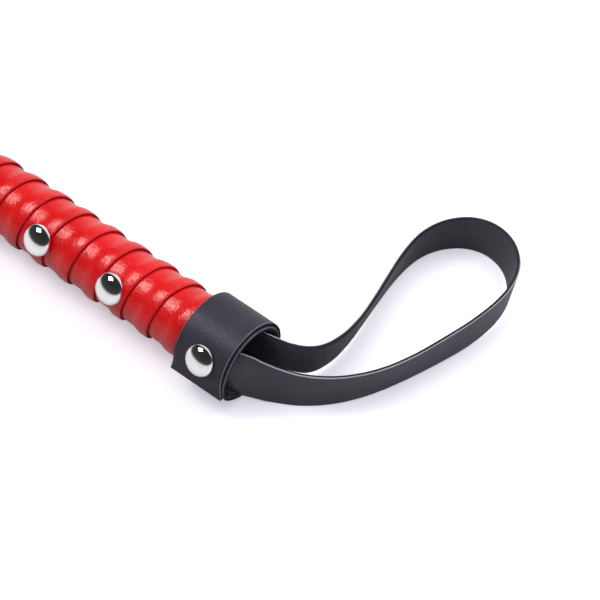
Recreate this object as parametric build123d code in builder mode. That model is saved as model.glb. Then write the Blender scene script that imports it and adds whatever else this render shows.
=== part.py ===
from build123d import *
import math
import os

# A riding crop lying on its side: studded grip, wrist loop, tapering shaft and
# leather keeper. All dimensions are millimetres.
# The handle axis is X: the butt with its wrist loop is at +X, the keeper tip at -X.
# X = 0 is the open mouth of the butt collar. +Z is up and -Y is the studded front.

os.makedirs("parts", exist_ok=True)

# ---- fits shared by several pieces ----
pin_fit = 0.01         # radial play of a pin in the core or in its cap
pin_clear = 0.05       # radial play of a pin through leather
pin_end_gap = 0.1      # hole left beyond the inner end of a pin
cap_gap = 0.02         # between a cap and the surface it sits on

# ---- handle core ----
core_r = 9.5
core_butt_x = -7.5
core_nose_x = -196.0
core_chamfer = 1.6
core_drill_len = 10.0  # long enough to break out of the core

# ---- shaft rod and its sleeve ----
rod_grip_r = 3.0
rod_tip_r = 1.5
rod_bore_r = rod_grip_r + 0.04
rod_bore_depth = 96.0
rod_start_x = core_nose_x + rod_bore_depth - 0.5
rod_taper_x = -214.0
rod_tip_x = -575.0
cover_start_x = -200.0
cover_end_x = -552.0
cover_t = 0.9
cover_gap = 0.02

# ---- grip strip, wound on the core ----
sleeve_in_r = core_r + 0.03
wrap_pitch = 11.33
wrap_turns = 14.9
wrap_low_r = 10.4
wrap_high_r = 11.45
wrap_butt_x = -20.0
wrap_nose_x = -178.0
wrap_start_x = -22.4 - wrap_pitch / 4 + wrap_pitch
wrap_seam = 0.08       # gap between neighbouring turns
wrap_pin_clear = 0.1
trim_r = 20.0          # cutting discs wider than the handle
trim_len = 40.0

# ---- studs and their nails ----
stud_r = 5.1
stud_h = 2.7
stud_rim = 0.4
stud_angle = 32.0      # degrees above the front
stud_pitch = 31.1
stud_xs = [-50.0 - i * stud_pitch for i in range(4)]
stud_base_r = 11.5     # distance of the cap undersides from the axis
nail_r = 0.9
nail_start_r = 4.5     # distance of the nail points from the axis
nail_into_cap = 1.2

# ---- butt collar and its rivet ----
collar_len = 19.6
collar_in_r = 11.62
collar_out_r = 14.4
band_t = 1.35
band_drop = 6.2
rivet_x = -9.4
rivet_angle = 26.0
post_r = 1.2
post_start_r = 3.0
post_into_cap = 1.4

# ---- strap ----
strap_w = 15.0
strap_t = 1.2
tail_mid_r = 10.2
tail_start_x = -18.0
tail_bend_x = -9.5     # the tails run straight from tail_start_x to here
front_tail_angle = math.radians(15.0)

# ---- tack in the back tail ----
tack_x = rivet_x - 3.0
tack_angle = 180.0
tack_start_r = 5.0
tack_len = 6.0
tack_head_r = 2.2
tack_head_t = 0.45
tack_head_base_r = tail_mid_r + strap_t / 2 + 0.04

# ---- front collar and nose ----
front_collar_out_r = 12.1
front_collar_round = 0.5
front_stud_x = -187.0
nose_len = 20.0
nose_flat_len = 4.0
nose_big_r = 11.1
nose_small_r = 5.4
nose_round = 0.6


def radial_plane(x, angle, distance):
    """Plane facing out of the handle, at an angle in degrees above the front (-Y)."""
    a = math.radians(angle)
    out = Vector(0, -math.cos(a), math.sin(a))
    return Plane(origin=(x, out.Y * distance, out.Z * distance), x_dir=(1, 0, 0), z_dir=out)


def rod_radius(x):
    """Radius of the rod: constant in the grip, then tapering to the tip."""
    if x > rod_taper_x:
        return rod_grip_r
    taper = (rod_taper_x - x) / (rod_taper_x - rod_tip_x)
    return rod_grip_r + (rod_tip_r - rod_grip_r) * taper


def dome_midpoint(radius, height):
    """Point halfway along a dome's arc, as (distance from its centre, height)."""
    sphere_r = (radius**2 + height**2) / (2 * height)
    half_angle = math.asin(radius / sphere_r) / 2
    return sphere_r * math.sin(half_angle), height - sphere_r * (1 - math.cos(half_angle))


def wide_circles(builder, min_radius):
    """Circular edges wider than min_radius."""
    circles = builder.edges().filter_by(GeomType.CIRCLE)
    return circles.filter_by(lambda e: e.radius > min_radius)


def save(part, name):
    part.label = name
    export_step(part, f"parts/{name}.step")


def save_domed_caps(name, xs, angle, base_r, hole_base_r, hole_r, hole_depth):
    """Domed caps, flat underneath, each with a blind hole for its pin."""
    dome_h = stud_h - stud_rim
    with BuildPart() as caps:
        for x in xs:
            with BuildSketch(radial_plane(x, angle, base_r)):
                Circle(stud_r)
            extrude(amount=stud_rim)
            rim = radial_plane(x, angle, base_r + stud_rim)
            side = Vector(1, 0, 0).cross(rim.z_dir)
            with BuildSketch(Plane(origin=rim.origin, x_dir=(1, 0, 0), z_dir=side)):
                with BuildLine():
                    Line((0, 0), (stud_r, 0))
                    ThreePointArc((stud_r, 0), dome_midpoint(stud_r, dome_h), (0, dome_h))
                    Line((0, dome_h), (0, 0))
                make_face()
            revolve(axis=Axis(rim.origin, rim.z_dir))
            with BuildSketch(radial_plane(x, angle, hole_base_r)):
                Circle(hole_r)
            extrude(amount=hole_depth, mode=Mode.SUBTRACT)
    save(caps.part, name)


def save_pins(name, xs, angle, radius, start_r, end_r):
    """Straight radial pins between two distances from the handle axis."""
    with BuildPart() as pins:
        for x in xs:
            with BuildSketch(radial_plane(x, angle, start_r)):
                Circle(radius)
            extrude(amount=end_r - start_r)
    save(pins.part, name)


def save_turned(name, profile, round_above=0.0, round_r=0.0):
    """Part turned about X from (x, radius) points; wide circular edges may be rounded."""
    with BuildPart() as turned:
        with BuildSketch(Plane.XZ):
            with BuildLine():
                Polyline(*profile, close=True)
            make_face()
        revolve(axis=Axis.X)
        if round_r:
            fillet(wide_circles(turned, round_above), round_r)
    save(turned.part, name)


# ---- grip_core: chamfered at the butt, bored for the rod, drilled for the pins ----
# Pin holes: x, angle, distance of the pin's inner end from the axis, pin radius.
core_pins = [(x, stud_angle, nail_start_r, nail_r) for x in stud_xs + [front_stud_x]]
core_pins += [
    (rivet_x, rivet_angle, post_start_r, post_r),
    (tack_x, tack_angle, tack_start_r, nail_r),
]
with BuildPart() as grip_core:
    with BuildSketch(Plane.YZ.offset(core_nose_x)):
        Circle(core_r)
    extrude(amount=core_butt_x - core_nose_x)
    chamfer(grip_core.faces().sort_by(Axis.X)[-1].edges(), core_chamfer)
    with BuildSketch(Plane.YZ.offset(core_nose_x)):
        Circle(rod_bore_r)
    extrude(amount=rod_bore_depth, mode=Mode.SUBTRACT)
    for x, angle, start_r, pin_r in core_pins:
        with BuildSketch(radial_plane(x, angle, start_r - pin_end_gap)):
            Circle(pin_r + pin_fit)
        extrude(amount=core_drill_len, mode=Mode.SUBTRACT)
save(grip_core.part, "grip_core")

# ---- grip_wrap: one left-handed helical strip, each turn proud at its butt edge ----
# Cross-section: x along the handle from the butt edge, y minus the distance from the axis.
wrap_profile = [
    (0.0, -sleeve_in_r),
    (0.0, -wrap_high_r + 0.35),
    (-0.35, -wrap_high_r),
    (-2.6, -wrap_high_r + 0.05),
    (-5.2, -wrap_low_r - 0.35),
    (-8.2, -wrap_low_r),
    (-wrap_pitch + wrap_seam, -wrap_low_r),
    (-wrap_pitch + wrap_seam, -sleeve_in_r),
]
with BuildPart() as grip_wrap:
    with BuildLine() as wrap_path:
        Helix(
            wrap_pitch,
            wrap_pitch * wrap_turns,
            wrap_low_r,
            center=(wrap_start_x, 0, 0),
            direction=(-1, 0, 0),
            lefthand=True,
        )
    with BuildSketch(Plane(origin=(wrap_start_x, 0, 0), x_dir=(1, 0, 0), z_dir=(0, 1, 0))):
        with BuildLine():
            Polyline(*wrap_profile, close=True)
        make_face()
    sweep(path=wrap_path.line, is_frenet=True)
    # trim both ends square
    for end_x, cut in ((wrap_butt_x, trim_len), (wrap_nose_x, -trim_len)):
        with BuildSketch(Plane.YZ.offset(end_x)):
            Circle(trim_r)
        extrude(amount=cut, mode=Mode.SUBTRACT)
    for x in stud_xs:
        with BuildSketch(radial_plane(x, stud_angle, 6.0)):
            Circle(nail_r + wrap_pin_clear)
        extrude(amount=8, mode=Mode.SUBTRACT)
save(grip_wrap.part, "grip_wrap")

# ---- grip studs: caps, and nails driven through the strip into the core ----
save_domed_caps(
    "grip_stud_caps", stud_xs, stud_angle, base_r=stud_base_r, hole_base_r=stud_base_r,
    hole_r=nail_r + pin_fit, hole_depth=nail_into_cap + 0.1,
)
save_pins(
    "grip_stud_nails", stud_xs, stud_angle, nail_r,
    start_r=nail_start_r, end_r=stud_base_r + nail_into_cap,
)

# ---- butt_collar: leather band with a loose end hanging at the front ----
with BuildPart() as butt_collar:
    with BuildSketch(Plane.YZ.offset(-collar_len)):
        Circle(collar_out_r)
        with Locations((-collar_out_r + band_t / 2, -band_drop / 2)):
            Rectangle(band_t, band_drop)
        Circle(collar_in_r, mode=Mode.SUBTRACT)
    extrude(amount=collar_len)
    with BuildSketch(radial_plane(rivet_x, rivet_angle, 8.0)):
        Circle(post_r + pin_clear)
    extrude(amount=8, mode=Mode.SUBTRACT)
save(butt_collar.part, "butt_collar")

# ---- collar rivet: cap, and a post through collar and front tail into the core ----
save_domed_caps(
    "collar_rivet_cap", [rivet_x], rivet_angle,
    base_r=collar_out_r + cap_gap, hole_base_r=collar_out_r,
    hole_r=post_r + pin_fit, hole_depth=post_into_cap + 0.1,
)
save_pins(
    "collar_rivet_post", [rivet_x], rivet_angle, post_r,
    start_r=post_start_r, end_r=collar_out_r + post_into_cap,
)

# ---- strap_tails: two strap ends between the core and the collar ----
# Stations: centre, path direction, width direction, bend radius across the width.
front_tail_y = -tail_mid_r * math.cos(front_tail_angle)
front_tail_z = tail_mid_r * math.sin(front_tail_angle)
front_tail_width = (0, math.sin(front_tail_angle), math.cos(front_tail_angle))
front_tail = [
    ((tail_start_x, front_tail_y, front_tail_z), (1, 0, 0), front_tail_width, tail_mid_r),
    ((tail_bend_x, front_tail_y, front_tail_z), (1, 0, 0), front_tail_width, tail_mid_r),
    ((-5.6, -9.3, 1.4), (0.95, 0.30, -0.10), (0, 0.22, 0.97), 9.8),
    ((-2.0, -6.7, -0.6), (0.72, 0.62, -0.30), (0, 0.18, 0.98), 10.0),
    ((1.3, -2.7, -4.0), (0.62, 0.72, -0.30), (0.06, 0.20, 0.98), 24.0),
    ((3.6, 0.0, -5.9), (0.82, 0.55, -0.12), (0.07, 0.16, 0.98), 120.0),
]
back_tail = [
    ((tail_start_x, tail_mid_r, 0.0), (1, 0, 0), (0, 0, 1), tail_mid_r),
    ((tail_bend_x, tail_mid_r, 0.0), (1, 0, 0), (0, 0, 1), tail_mid_r),
    ((-5.0, 9.9, -0.2), (1.0, -0.03, -0.05), (0, 0, 1), 10.2),
    ((-1.6, 9.6, -0.6), (1.0, 0.0, -0.15), (0.02, 0, 1), 10.4),
    ((0.6, 9.45, -1.2), (0.98, 0.15, -0.15), (0.10, 0, 1), 20.0),
    ((2.3, 9.75, -1.7), (0.96, 0.28, -0.10), (0.15, 0, 1), 60.0),
]


def tail_section(centre, path, width, bend_r):
    """Curved strap section, its bend centre toward the handle axis."""
    path_dir = Vector(*path).normalized()
    width_dir = Vector(*width)
    width_dir = (width_dir - path_dir * width_dir.dot(path_dir)).normalized()
    # turn the width round where local +Y would point toward the axis
    if path_dir.cross(width_dir).Y * centre[1] < 0:
        width_dir = width_dir * -1
    half_angle = strap_w / 2 / bend_r
    outer_r = bend_r + strap_t / 2
    inner_r = bend_r - strap_t / 2
    outer_x = outer_r * math.sin(half_angle)
    outer_y = outer_r * math.cos(half_angle) - bend_r
    inner_x = inner_r * math.sin(half_angle)
    inner_y = inner_r * math.cos(half_angle) - bend_r
    with BuildSketch(Plane(origin=centre, x_dir=width_dir, z_dir=path_dir)) as section:
        with BuildLine():
            ThreePointArc((-outer_x, outer_y), (0, strap_t / 2), (outer_x, outer_y))
            Line((outer_x, outer_y), (inner_x, inner_y))
            ThreePointArc((inner_x, inner_y), (0, -strap_t / 2), (-inner_x, inner_y))
            Line((-inner_x, inner_y), (-outer_x, outer_y))
        make_face()
    return section.sketch


front_sections = [tail_section(*station) for station in front_tail]
back_sections = [tail_section(*station) for station in back_tail]
with BuildPart() as strap_tails:
    for sections in (front_sections, back_sections):
        loft(sections=sections[:2], ruled=True)
        loft(sections=sections[1:])
    # pare back the long edges where they would foul the collar's inside wall
    with BuildSketch(Plane.YZ.offset(-collar_len - 0.1)):
        Circle(trim_r)
        Circle(collar_in_r - 0.05, mode=Mode.SUBTRACT)
    extrude(amount=collar_len + 0.15, mode=Mode.SUBTRACT)
    for x, angle, pin_r in ((rivet_x, rivet_angle, post_r), (tack_x, tack_angle, nail_r)):
        with BuildSketch(radial_plane(x, angle, 6.0)):
            Circle(pin_r + pin_clear)
        extrude(amount=6, mode=Mode.SUBTRACT)
save(strap_tails.part, "strap_tails")

# ---- strap_tack: flat-headed tack holding the back tail under the collar ----
with BuildPart() as strap_tack:
    with BuildSketch(radial_plane(tack_x, tack_angle, tack_start_r)):
        Circle(nail_r)
    extrude(amount=tack_len)
    with BuildSketch(radial_plane(tack_x, tack_angle, tack_head_base_r)):
        Circle(tack_head_r)
    extrude(amount=tack_head_t)
save(strap_tack.part, "strap_tack")

# ---- wrist_loop: flat strap standing on edge in a long loop ----
# Centre line: x, y, z of the centre, then x, y, z of the width direction.
loop_stations = [
    (7.17, 1.76, -6.38, 0.032, 0.121, 0.992),
    (15.40, 5.98, -6.66, 0.017, -0.024, 1.000),
    (22.60, 12.02, -6.55, 0.077, -0.103, 0.992),
    (28.17, 19.06, -6.34, 0.149, -0.121, 0.981),
    (32.06, 26.40, -6.23, 0.202, -0.092, 0.975),
    (34.83, 34.01, -6.30, 0.218, -0.046, 0.975),
    (37.02, 41.90, -6.50, 0.196, -0.030, 0.980),
    (38.97, 49.94, -6.51, 0.159, -0.061, 0.985),
    (40.74, 58.04, -6.13, 0.135, -0.094, 0.986),
    (41.87, 66.12, -5.43, 0.147, -0.111, 0.983),
    (41.63, 74.02, -4.67, 0.179, -0.045, 0.983),
    (39.03, 81.35, -4.47, 0.137, 0.118, 0.984),
    (33.70, 87.46, -5.05, 0.028, 0.188, 0.982),
    (26.81, 91.33, -5.88, -0.053, 0.143, 0.988),
    (19.56, 92.12, -6.45, -0.062, 0.046, 0.997),
    (13.01, 89.33, -6.62, 0.016, -0.010, 1.000),
    (8.12, 83.26, -6.46, 0.085, -0.017, 0.996),
    (5.66, 75.33, -6.36, 0.136, -0.025, 0.990),
    (5.75, 66.80, -6.48, 0.183, 0.012, 0.983),
    (7.25, 58.38, -6.36, 0.206, 0.091, 0.974),
    (9.20, 50.28, -5.81, 0.229, 0.131, 0.965),
    (11.24, 41.99, -5.31, 0.262, 0.096, 0.960),
    (12.88, 33.20, -5.07, 0.275, 0.061, 0.959),
    (13.32, 24.20, -4.69, 0.261, 0.051, 0.964),
    (11.46, 15.99, -3.82, 0.245, 0.035, 0.969),
    (5.94, 10.82, -2.43, 0.230, -0.056, 0.972),
]


def loop_section(i):
    """Flat strap section at station i, square to the line between its neighbours."""
    before = Vector(*loop_stations[max(i - 1, 0)][:3])
    after = Vector(*loop_stations[min(i + 1, len(loop_stations) - 1)][:3])
    path_dir = (after - before).normalized()
    width_dir = Vector(*loop_stations[i][3:])
    width_dir = (width_dir - path_dir * width_dir.dot(path_dir)).normalized()
    section_plane = Plane(origin=loop_stations[i][:3], x_dir=width_dir, z_dir=path_dir)
    with BuildSketch(section_plane) as section:
        Rectangle(strap_w, strap_t)
    return section.sketch


loop_sections = [loop_section(i) for i in range(len(loop_stations))]
with BuildPart() as wrist_loop:
    loft(sections=loop_sections)
save(wrist_loop.part, "wrist_loop")

# ---- front_collar: leather band closing the strip at the shaft end ----
front_collar_start_x = core_nose_x + 0.05
front_collar_end_x = wrap_nose_x - 0.1
with BuildPart() as front_collar:
    with BuildSketch(Plane.YZ.offset(front_collar_start_x)):
        Circle(front_collar_out_r)
        Circle(sleeve_in_r, mode=Mode.SUBTRACT)
    extrude(amount=front_collar_end_x - front_collar_start_x)
    fillet(wide_circles(front_collar, front_collar_out_r - 0.1), front_collar_round)
    with BuildSketch(radial_plane(front_stud_x, stud_angle, 6.0)):
        Circle(nail_r + pin_clear)
    extrude(amount=8, mode=Mode.SUBTRACT)
save(front_collar.part, "front_collar")

save_domed_caps(
    "front_collar_stud_cap", [front_stud_x], stud_angle,
    base_r=front_collar_out_r + cap_gap, hole_base_r=front_collar_out_r,
    hole_r=nail_r + pin_fit, hole_depth=nail_into_cap + 0.2,
)
save_pins(
    "front_collar_stud_nail", [front_stud_x], stud_angle, nail_r,
    start_r=nail_start_r, end_r=front_collar_out_r + nail_into_cap,
)

# ---- shaft_rod: straight shank in the core, then a long taper to the tip ----
save_turned("shaft_rod", [
    (rod_start_x, 0),
    (rod_start_x, rod_grip_r),
    (rod_taper_x, rod_grip_r),
    (rod_tip_x, rod_tip_r),
    (rod_tip_x, 0),
])

# ---- shaft_cover: sleeve following the rod ----
save_turned("shaft_cover", [
    (cover_start_x, rod_radius(cover_start_x) + cover_gap),
    (cover_start_x, rod_radius(cover_start_x) + cover_t),
    (rod_taper_x, rod_grip_r + cover_t),
    (cover_end_x, rod_radius(cover_end_x) + cover_t),
    (cover_end_x, rod_radius(cover_end_x) + cover_gap),
    (rod_taper_x, rod_grip_r + cover_gap),
])

# ---- grip_nose: tapered ferrule between the grip and the shaft ----
nose_bore_r = rod_grip_r + cover_t + 0.05
save_turned("grip_nose", [
    (core_nose_x - 0.1, nose_bore_r),
    (core_nose_x - 0.1, nose_big_r),
    (core_nose_x - nose_flat_len, nose_big_r),
    (core_nose_x - nose_len, nose_small_r),
    (core_nose_x - nose_len, nose_bore_r),
], round_above=nose_bore_r + 0.15, round_r=nose_round)

# ---- keeper_roots: two flat tongues, above and below the end of the rod ----
root_start_x = -553.5
root_end_x = -577.5
root_w = 9.0
root_t = 1.5
root_in_z = rod_radius(root_start_x) + 0.05
with BuildPart() as keeper_roots:
    for up in (1, -1):
        with BuildSketch(Plane.XY.offset(up * root_in_z)):
            with Locations(((root_start_x + root_end_x) / 2, 0)):
                Rectangle(root_start_x - root_end_x, root_w)
        extrude(amount=up * root_t)
save(keeper_roots.part, "keeper_roots")

# ---- tip_whipping: rounded thread binding around the tongues ----
whip_start_x = root_start_x - 0.6
whip_end_x = -570.0
whip_t = 1.0
whip_in_y = root_w / 2 + 0.35
whip_in_z = root_in_z + root_t + 0.05
whip_out_corner = 2.6
whip_in_corner = 0.2
with BuildPart() as tip_whipping:
    with BuildSketch(Plane.YZ.offset(whip_end_x)):
        RectangleRounded(2 * (whip_in_y + whip_t), 2 * (whip_in_z + whip_t), whip_out_corner)
        RectangleRounded(2 * whip_in_y, 2 * whip_in_z, whip_in_corner, mode=Mode.SUBTRACT)
    extrude(amount=whip_start_x - whip_end_x)
save(tip_whipping.part, "tip_whipping")

# ---- tip_cap: ring around the sleeve's end, on the butt side of the tongues ----
tip_cap_len = 7.0
tip_cap_out_r = rod_radius(cover_end_x) + cover_t + 1.2
tip_cap_in_r = rod_radius(cover_end_x + 8) + cover_t + 0.05
tip_cap_round = 0.4
with BuildPart() as tip_cap:
    with BuildSketch(Plane.YZ.offset(root_start_x + 0.05)):
        Circle(tip_cap_out_r)
        Circle(tip_cap_in_r, mode=Mode.SUBTRACT)
    extrude(amount=tip_cap_len)
    fillet(wide_circles(tip_cap, tip_cap_out_r - 0.2), tip_cap_round)
save(tip_cap.part, "tip_cap")

# ---- keeper dimensions ----
flap_start_x = -580.0
flap_tip_x = -650.0
flap_w = 30.0
flap_neck_w = 12.0
flap_neck_end_x = flap_start_x - 6.0
flap_shoulder_x = flap_start_x - 15.0
flap_corner_r = 6.0
leaf_t = 1.5
leaf_gap = 0.2
flap_half_t = leaf_t + leaf_gap / 2
slot_open_x = flap_start_x + 1.0
slot_end_x = flap_tip_x + 2.0    # the leaves stay joined beyond this, at the fold

keeper_rivet_x = -590.0
keeper_post_r = 1.3
keeper_post_proud = 0.9
keeper_cap_r = 4.2
keeper_cap_rim = 0.4
keeper_dome_h = 1.4

stitch_w = 0.7
stitch_len = 3.0
stitch_pitch = 5.0
stitch_leg = 0.35
stitch_proud = 0.4
stitch_hole_play = 0.08
stitch_side_y = 12.2
stitch_end_x = flap_tip_x + 5.6
side_stitches = [
    (-597.0 - i * stitch_pitch, side * stitch_side_y) for i in range(10) for side in (-1, 1)
]
end_stitches = [(stitch_end_x, (i - 1.5) * stitch_pitch) for i in range(4)]

# ---- keeper_flap: leather folded at the tip into two leaves, pierced for sewing ----
flap_outline = [
    (flap_start_x, flap_neck_w / 2),
    (flap_neck_end_x, flap_neck_w / 2),
    (flap_shoulder_x, flap_w / 2),
    (flap_tip_x, flap_w / 2),
    (flap_tip_x, -flap_w / 2),
    (flap_shoulder_x, -flap_w / 2),
    (flap_neck_end_x, -flap_neck_w / 2),
    (flap_start_x, -flap_neck_w / 2),
]
hole_across = stitch_w + stitch_hole_play
hole_along = stitch_leg + stitch_hole_play
leg_offset = stitch_len / 2 - stitch_leg / 2
with BuildPart() as keeper_flap:
    with BuildSketch(Plane.XY.offset(-flap_half_t)) as flap_plan:
        with BuildLine():
            Polyline(*flap_outline, close=True)
        make_face()
        fillet(flap_plan.vertices().group_by(Axis.X)[0], flap_corner_r)
    extrude(amount=2 * flap_half_t)
    with BuildSketch(Plane.XY.offset(-leaf_gap / 2)):
        with Locations(((slot_open_x + slot_end_x) / 2, 0)):
            Rectangle(slot_open_x - slot_end_x, flap_w + 2)
    extrude(amount=leaf_gap, mode=Mode.SUBTRACT)
    with BuildSketch(Plane.XY.offset(-5)):
        with Locations((keeper_rivet_x, 0)):
            Circle(keeper_post_r + pin_clear)
        for x, y in side_stitches:
            with Locations((x - leg_offset, y), (x + leg_offset, y)):
                Rectangle(hole_along, hole_across)
        for x, y in end_stitches:
            with Locations((x, y - leg_offset), (x, y + leg_offset)):
                Rectangle(hole_across, hole_along)
    extrude(amount=10, mode=Mode.SUBTRACT)
save(keeper_flap.part, "keeper_flap")

# ---- keeper_stitching: thread loops passing through both leaves ----
stitch_planes = [
    Plane(origin=(x, y + stitch_w / 2, 0), x_dir=(1, 0, 0), z_dir=(0, -1, 0))
    for x, y in side_stitches
] + [
    Plane(origin=(x - stitch_w / 2, y, 0), x_dir=(0, 1, 0), z_dir=(1, 0, 0))
    for x, y in end_stitches
]
with BuildPart() as keeper_stitching:
    for stitch_plane in stitch_planes:
        with BuildSketch(stitch_plane):
            Rectangle(stitch_len, 2 * (flap_half_t + stitch_proud))
            Rectangle(
                stitch_len - 2 * stitch_leg, 2 * flap_half_t + 0.04, mode=Mode.SUBTRACT
            )
        extrude(amount=stitch_w)
save(keeper_stitching.part, "keeper_stitching")

# ---- keeper_rivet_post: pin through both leaves ----
with BuildPart() as keeper_rivet_post:
    with BuildSketch(Plane.XY.offset(-flap_half_t - keeper_post_proud)):
        with Locations((keeper_rivet_x, 0)):
            Circle(keeper_post_r)
    extrude(amount=2 * (flap_half_t + keeper_post_proud))
save(keeper_rivet_post.part, "keeper_rivet_post")


# ---- keeper rivet caps: low domes above (up = 1) and below (up = -1) the flap ----
def save_keeper_cap(name, up):
    base_z = up * (flap_half_t + cap_gap)
    rim_z = up * (flap_half_t + keeper_cap_rim)
    top_z = up * (flap_half_t + keeper_cap_rim + keeper_dome_h)
    rim_x = keeper_rivet_x + keeper_cap_r
    mid_out, mid_h = dome_midpoint(keeper_cap_r, keeper_dome_h)
    with BuildPart() as cap:
        with BuildSketch(Plane.XZ):
            with BuildLine():
                Polyline((keeper_rivet_x, base_z), (rim_x, base_z), (rim_x, rim_z))
                ThreePointArc(
                    (rim_x, rim_z),
                    (keeper_rivet_x + mid_out, rim_z + up * mid_h),
                    (keeper_rivet_x, top_z),
                )
                Line((keeper_rivet_x, top_z), (keeper_rivet_x, base_z))
            make_face()
        revolve(axis=Axis((keeper_rivet_x, 0, 0), (0, 0, 1)))
        with BuildSketch(Plane.XY.offset(up * flap_half_t)):
            with Locations((keeper_rivet_x, 0)):
                Circle(keeper_post_r + pin_fit)
        extrude(amount=up * (keeper_post_proud + 0.02), mode=Mode.SUBTRACT)
    save(cap.part, name)


save_keeper_cap("keeper_rivet_cap", 1)
save_keeper_cap("keeper_rivet_back_cap", -1)
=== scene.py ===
import math

import bpy
import bmesh
from mathutils import Vector, Matrix, noise


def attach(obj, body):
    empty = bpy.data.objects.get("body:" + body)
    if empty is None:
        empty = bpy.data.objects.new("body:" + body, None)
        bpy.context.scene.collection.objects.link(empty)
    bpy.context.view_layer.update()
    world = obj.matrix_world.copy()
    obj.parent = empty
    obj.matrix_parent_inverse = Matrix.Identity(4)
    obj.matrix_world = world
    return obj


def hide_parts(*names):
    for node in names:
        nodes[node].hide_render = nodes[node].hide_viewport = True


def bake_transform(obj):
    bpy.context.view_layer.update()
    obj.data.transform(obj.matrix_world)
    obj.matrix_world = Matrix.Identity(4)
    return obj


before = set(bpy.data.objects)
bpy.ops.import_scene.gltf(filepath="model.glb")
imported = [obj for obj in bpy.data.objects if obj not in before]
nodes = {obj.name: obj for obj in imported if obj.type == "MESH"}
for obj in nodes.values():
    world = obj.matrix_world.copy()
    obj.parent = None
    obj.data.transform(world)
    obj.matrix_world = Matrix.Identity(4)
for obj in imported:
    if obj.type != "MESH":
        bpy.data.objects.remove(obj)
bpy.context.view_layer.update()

MM = 0.001
TAU = 2 * math.pi


# ------------------------------------------------------------------ geometry helpers
def vec(x, y, z):
    return Vector((x, y, z))


X_AXIS, Y_AXIS, Z_AXIS = vec(1, 0, 0), vec(0, 1, 0), vec(0, 0, 1)


def outward(theta):
    """Direction away from the shaft axis: -Y at 0, +Z at a quarter turn."""
    return vec(0, -math.cos(theta), math.sin(theta))


def smooth(s):
    return s * s * (3 - 2 * s)


def scatter(index, channel):
    """Repeatable value in -1..1."""
    s = math.sin(index * 12.9898 + channel * 78.233) * 43758.5453
    return 2.0 * (s - math.floor(s)) - 1.0


def neighbours(items, i):
    return items[max(i - 1, 0)], items[min(i + 1, len(items) - 1)]


def make_mesh(name, verts, faces, materials, sharp_angle, face_materials=None):
    mesh = bpy.data.meshes.new(name)
    mesh.from_pydata([tuple(c * MM for c in v) for v in verts], [], faces)
    for material in materials:
        mesh.materials.append(material)
    if face_materials:
        mesh.polygons.foreach_set("material_index", face_materials)
    bm = bmesh.new()
    bm.from_mesh(mesh)
    bmesh.ops.remove_doubles(bm, verts=bm.verts, dist=1e-7)
    bmesh.ops.recalc_face_normals(bm, faces=bm.faces)
    bm.to_mesh(mesh)
    bm.free()
    mesh.polygons.foreach_set("use_smooth", [True] * len(mesh.polygons))
    mesh.set_sharp_from_angle(angle=math.radians(sharp_angle))
    mesh.update()
    obj = bpy.data.objects.new(name, mesh)
    bpy.context.scene.collection.objects.link(obj)
    return obj


def add_loft(verts, faces, rings):
    """Joins equal rings of points into a capped solid; make_mesh turns its faces outward."""
    count = len(rings[0])
    start = len(verts)
    for ring in rings:
        verts.extend(ring)
    for row in range(len(rings) - 1):
        near = start + row * count
        far = near + count
        for k in range(count):
            after = (k + 1) % count
            faces.append((near + k, near + after, far + after, far + k))
    last = len(verts) - count
    faces.append(tuple(range(start, start + count)))
    faces.append(tuple(reversed(range(last, last + count))))


def add_tube(verts, faces, path, radii, ups, flat=1.0, sides=10):
    """Adds a tube along path; flat scales its thickness along the ups."""
    rings = []
    for i, (point, radius, up) in enumerate(zip(path, radii, ups)):
        before, after = neighbours(path, i)
        tangent = (after - before).normalized()
        side = tangent.cross(up).normalized()
        normal = side.cross(tangent).normalized()
        ring = []
        for k in range(sides):
            turn = TAU * k / sides
            ring.append(point + side * (radius * math.cos(turn))
                        + normal * (radius * flat * math.sin(turn)))
        rings.append(ring)
    add_loft(verts, faces, rings)


def resample(points, count):
    """Cubic curve through points (x, y, z, then any other columns), evenly sampled."""
    dist = [0.0]
    for a, b in zip(points, points[1:]):
        dist.append(dist[-1] + math.dist(a[:3], b[:3]))
    samples = []
    for k in range(count):
        s = dist[-1] * k / (count - 1)
        j = 0
        while j < len(points) - 2 and dist[j + 1] < s:
            j += 1
        before, after = max(j - 1, 0), min(j + 2, len(points) - 1)
        span = dist[j + 1] - dist[j]
        t = (s - dist[j]) / span
        row = []
        for p0, p1, p2, p3 in zip(points[before], points[j], points[j + 1], points[after]):
            slope1 = (p2 - p0) / (dist[j + 1] - dist[before]) * span
            slope2 = (p3 - p1) / (dist[after] - dist[j]) * span
            row.append((2 * t**3 - 3 * t**2 + 1) * p1 + (t**3 - 2 * t**2 + t) * slope1
                       + (-2 * t**3 + 3 * t**2) * p2 + (t**3 - t**2) * slope2)
        samples.append(tuple(row))
    return samples


# Faces of a leather strip, which are also its material slots
OUTER, ROUNDED, INNER, CUT = 0, 1, 2, 3


def strip_section(width, thickness, across, rounding):
    """Cross-section points (along the width, along the normal, face)."""
    half, top = width / 2, thickness / 2
    r = min(rounding, thickness * 0.45)
    outer = [(-half + r + (width - 2 * r) * k / across, top, OUTER) for k in range(across + 1)]
    edge = []
    for k in (1, 2, 3):
        turn = math.pi / 2 * k / 4
        edge.append((half - r + r * math.sin(turn), top - r + r * math.cos(turn), ROUNDED))
    edge += [
        (half, top - r, ROUNDED),
        (half, 0, CUT),
        (half, -top + r, CUT),
        (half - r * 0.35, -top + r * 0.3, CUT),
    ]
    inner = [(-u, -v, INNER) for u, v, _ in outer]
    return outer + edge + inner + [(-u, v, face) for u, v, face in reversed(edge)]


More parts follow.
